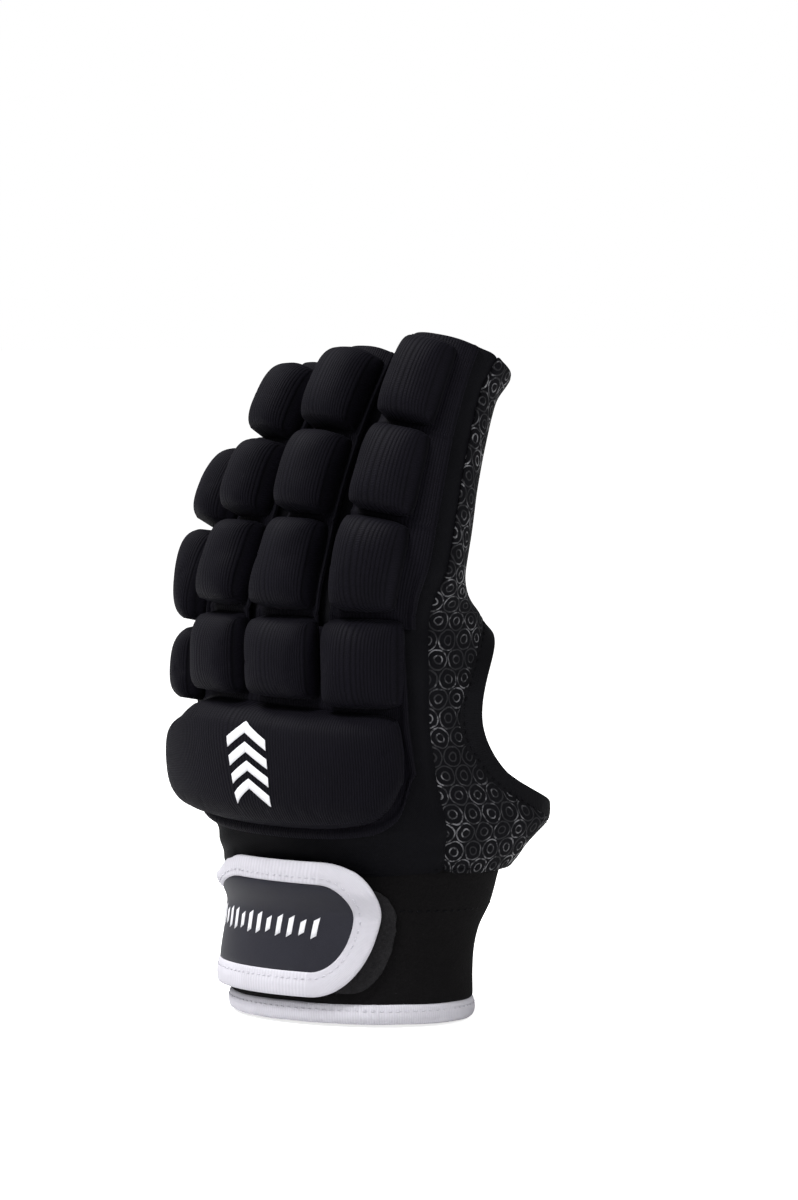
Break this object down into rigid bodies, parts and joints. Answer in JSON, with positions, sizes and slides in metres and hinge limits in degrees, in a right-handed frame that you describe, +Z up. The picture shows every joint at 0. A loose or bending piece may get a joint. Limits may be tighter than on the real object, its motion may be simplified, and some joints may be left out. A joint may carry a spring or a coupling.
{
  "type": "field hockey glove",
  "caption": "Half-finger field hockey glove for the left hand, with foam pads over the back and fingers and a strapped cuff.",
  "frame": {"origin": "middle of the wrist opening, at the lower edge of the hem", "axes": "+Z up the hand from the wrist to the fingertips, +X to the thumb side, +Y out of the palm, -Y out of the back of the hand"},
  "size_m": [0.1053, 0.0769, 0.1861],
  "materials": {
    "lycra": "smooth stretch cloth with a faint sheen",
    "grip_palm": "matte palm cloth with raised shiny silicone print",
    "lycra_binding": "smooth folded stretch binding",
    "knit": "matte ribbed knit over moulded foam",
    "neoprene": "matte neoprene faced with jersey",
    "white_binding": "smooth folded tape with a stitch line",
    "loop_fabric": "fuzzy loop side of a touch fastener",
    "rubber_patch": "satin moulded rubber"
  },
  "bodies": {
    "root": {"back_cloth": "lycra", "palm_cloth": "grip_palm", "thumb_binding": "lycra_binding", "foam_panel": "knit", "back_pad": "knit", "pad_little_1": "knit", "pad_little_2": "knit", "pad_little_3": "knit", "pad_ring_1": "knit", "pad_ring_2": "knit", "pad_ring_3": "knit", "pad_ring_4": "knit", "pad_middle_1": "knit", "pad_middle_2": "knit", "pad_middle_3": "knit", "pad_middle_4": "knit", "pad_index_1": "knit", "pad_index_2": "knit", "pad_index_3": "knit", "pad_index_4": "knit", "cuff": "neoprene", "hem_binding": "white_binding", "loop_patch": "loop_fabric", "strap": "rubber_patch", "strap_binding": "white_binding"}
  },
  "joints": []
}
